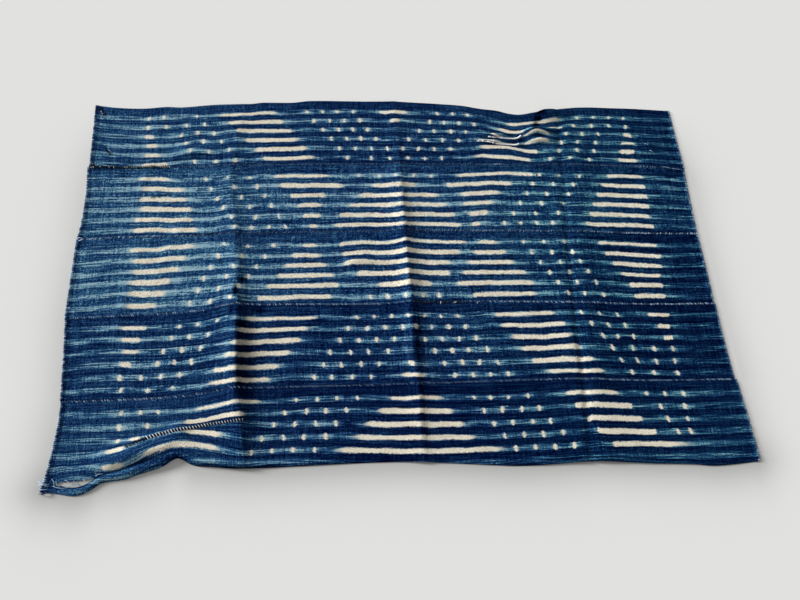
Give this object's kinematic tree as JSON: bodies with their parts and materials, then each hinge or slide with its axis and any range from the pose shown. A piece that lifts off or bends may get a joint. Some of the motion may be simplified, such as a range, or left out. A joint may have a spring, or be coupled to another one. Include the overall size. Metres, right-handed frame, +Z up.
{
  "type": "indigo strip cloth",
  "caption": "Handwoven indigo cotton strip cloth laid out flat, with stitched-resist bars and dots, fold creases, a rucked hem and a small corner tear.",
  "frame": {"origin": "centre of the laid-out cloth's box, on the surface that it lies on", "axes": "+X along the woven strips, +Y across them towards the far edge, +Z up out of the cloth's face"},
  "size_m": [1.5261, 0.9743, 0.0189],
  "materials": {
    "strip_1_cotton": "matt handspun cotton, indigo with cream resist bars and dots",
    "strip_2_cotton": "matt handspun cotton, indigo with cream resist bars and dots",
    "strip_3_cotton": "matt handspun cotton, indigo with cream resist bars and dots",
    "strip_4_cotton": "matt handspun cotton, dark indigo with cream resist bars and dots",
    "strip_5_cotton": "matt handspun cotton, dark indigo with cream resist bars and dots"
  },
  "bodies": {
    "root": {"strip_1": "strip_1_cotton", "strip_2": "strip_2_cotton", "strip_3": "strip_3_cotton", "strip_4": "strip_4_cotton", "strip_5": "strip_5_cotton"}
  },
  "joints": []
}
